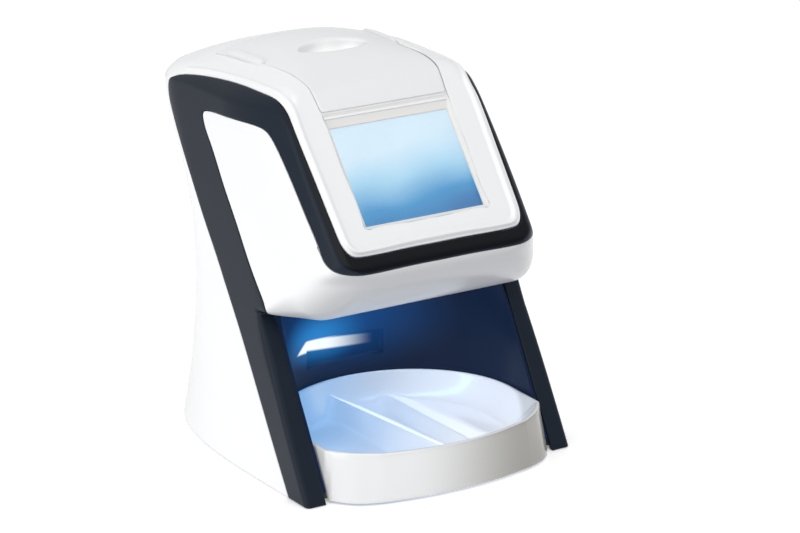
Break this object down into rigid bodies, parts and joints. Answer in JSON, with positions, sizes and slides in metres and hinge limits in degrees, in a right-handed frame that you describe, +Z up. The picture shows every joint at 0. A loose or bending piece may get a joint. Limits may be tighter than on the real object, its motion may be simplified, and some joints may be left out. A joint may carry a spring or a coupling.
{
  "type": "phosphor plate scanner",
  "caption": "Compact desktop scanner for phosphor imaging plates with tilted screen, top entry slot, lit chamber and pull-out tray.",
  "frame": {"origin": "on the table under the middle of the outline, tray included", "axes": "+Z up, the tray and screen face -Y, +X to the right seen from the front"},
  "size_m": [0.1504, 0.193, 0.1935],
  "materials": {
    "housing_white": "gloss",
    "cover_white": "gloss",
    "band_slate": "satin",
    "base_dark": "matte",
    "foot_rubber": "matte",
    "liner_gloss": "gloss",
    "tray_frost": "gloss",
    "lamp_lens": "satin",
    "touch_glass": "gloss",
    "display_panel": "satin",
    "sheet_steel": "satin",
    "shaft_steel": "polished",
    "roller_rubber": "matte",
    "bush_bronze": "satin",
    "pulley_plastic": "satin",
    "belt_rubber": "matte",
    "motor_metal": "satin",
    "optics_black": "matte",
    "laser_brass": "satin",
    "scan_mirror": "polished",
    "light_guide": "gloss",
    "detector_metal": "satin",
    "board_green": "satin",
    "post_brass": "satin",
    "port_black": "satin",
    "socket_metal": "satin",
    "button_white": "gloss",
    "guide_plastic": "satin",
    "screw_steel": "satin"
  },
  "bodies": {
    "housing": {"rear_housing": "housing_white", "lower_hood": "housing_white", "front_frame": "housing_white", "side_band_left": "band_slate", "side_band_right": "band_slate", "chin_band": "band_slate", "base_plate": "base_dark", "feet": "foot_rubber", "chamber_liner": "liner_gloss", "chamber_lamp": "lamp_lens", "eraser_lamp": "lamp_lens", "touch_glass": "touch_glass", "display_module": "display_panel", "chassis": "sheet_steel", "roller_bushes": "bush_bronze", "drive_belt": "belt_rubber", "transport_motor": "motor_metal", "optics_bench": "optics_black", "mirror_scanner": "optics_black", "laser_mount": "optics_black", "laser_module": "laser_brass", "light_guide": "light_guide", "light_detector": "detector_metal", "main_board": "board_green", "power_board": "board_green", "board_posts": "post_brass", "connector_panel": "port_black", "power_inlet": "port_black", "button_switch": "port_black", "data_socket": "socket_metal", "service_socket": "socket_metal", "entry_funnel": "guide_plastic", "exit_guide": "guide_plastic", "base_screws": "screw_steel", "chassis_screws": "screw_steel"},
    "cover": {"top_cover": "cover_white"},
    "tray": {"receiving_tray": "tray_frost"},
    "upper_drive": {"upper_drive_shaft": "shaft_steel", "upper_drive_roller": "roller_rubber", "upper_drive_pulley": "pulley_plastic"},
    "upper_pinch": {"upper_pinch_shaft": "shaft_steel", "upper_pinch_roller": "roller_rubber"},
    "lower_drive": {"lower_drive_shaft": "shaft_steel", "lower_drive_roller": "roller_rubber", "lower_drive_pulley": "pulley_plastic"},
    "lower_pinch": {"lower_pinch_shaft": "shaft_steel", "lower_pinch_roller": "roller_rubber"},
    "motor_rotor": {"motor_shaft": "shaft_steel", "motor_pulley": "pulley_plastic"},
    "mirror_rotor": {"scan_mirror": "scan_mirror"},
    "button": {"power_button": "button_white"}
  },
  "joints": [
    {"name": "cover_lift", "type": "slide", "parent": "housing", "child": "cover", "axis": [0, 0, 1], "range_m": [0, 0.05]},
    {"name": "tray_pull", "type": "slide", "parent": "housing", "child": "tray", "axis": [0, -1, 0], "range_m": [0, 0.12]},
    {"name": "upper_drive_spin", "type": "hinge", "parent": "housing", "child": "upper_drive", "pos_m": [0, 0.0252, 0.127], "axis": [1, 0, 0], "continuous": true},
    {"name": "upper_pinch_spin", "type": "hinge", "parent": "housing", "child": "upper_pinch", "pos_m": [0, 0.0128, 0.127], "axis": [1, 0, 0], "continuous": true},
    {"name": "lower_drive_spin", "type": "hinge", "parent": "housing", "child": "lower_drive", "pos_m": [0, 0.0252, 0.099], "axis": [1, 0, 0], "continuous": true},
    {"name": "lower_pinch_spin", "type": "hinge", "parent": "housing", "child": "lower_pinch", "pos_m": [0, 0.0128, 0.099], "axis": [1, 0, 0], "continuous": true},
    {"name": "motor_spin", "type": "hinge", "parent": "housing", "child": "motor_rotor", "pos_m": [0, 0.038, 0.07], "axis": [1, 0, 0], "continuous": true},
    {"name": "mirror_swing", "type": "hinge", "parent": "housing", "child": "mirror_rotor", "pos_m": [0, -0.012, 0.1125], "axis": [0, 0, 1], "range_deg": [-12, 12]},
    {"name": "button_press", "type": "slide", "parent": "housing", "child": "button", "axis": [0, -1, 0], "range_m": [0, 0.0015], "stiffness_N_per_m": 300}
  ],
  "couplings": [
    {"joint": "lower_drive_spin", "follows": "upper_drive_spin", "ratio": 1},
    {"joint": "upper_pinch_spin", "follows": "upper_drive_spin", "ratio": -1},
    {"joint": "lower_pinch_spin", "follows": "upper_drive_spin", "ratio": -1},
    {"joint": "motor_spin", "follows": "upper_drive_spin", "ratio": 1.6}
  ]
}
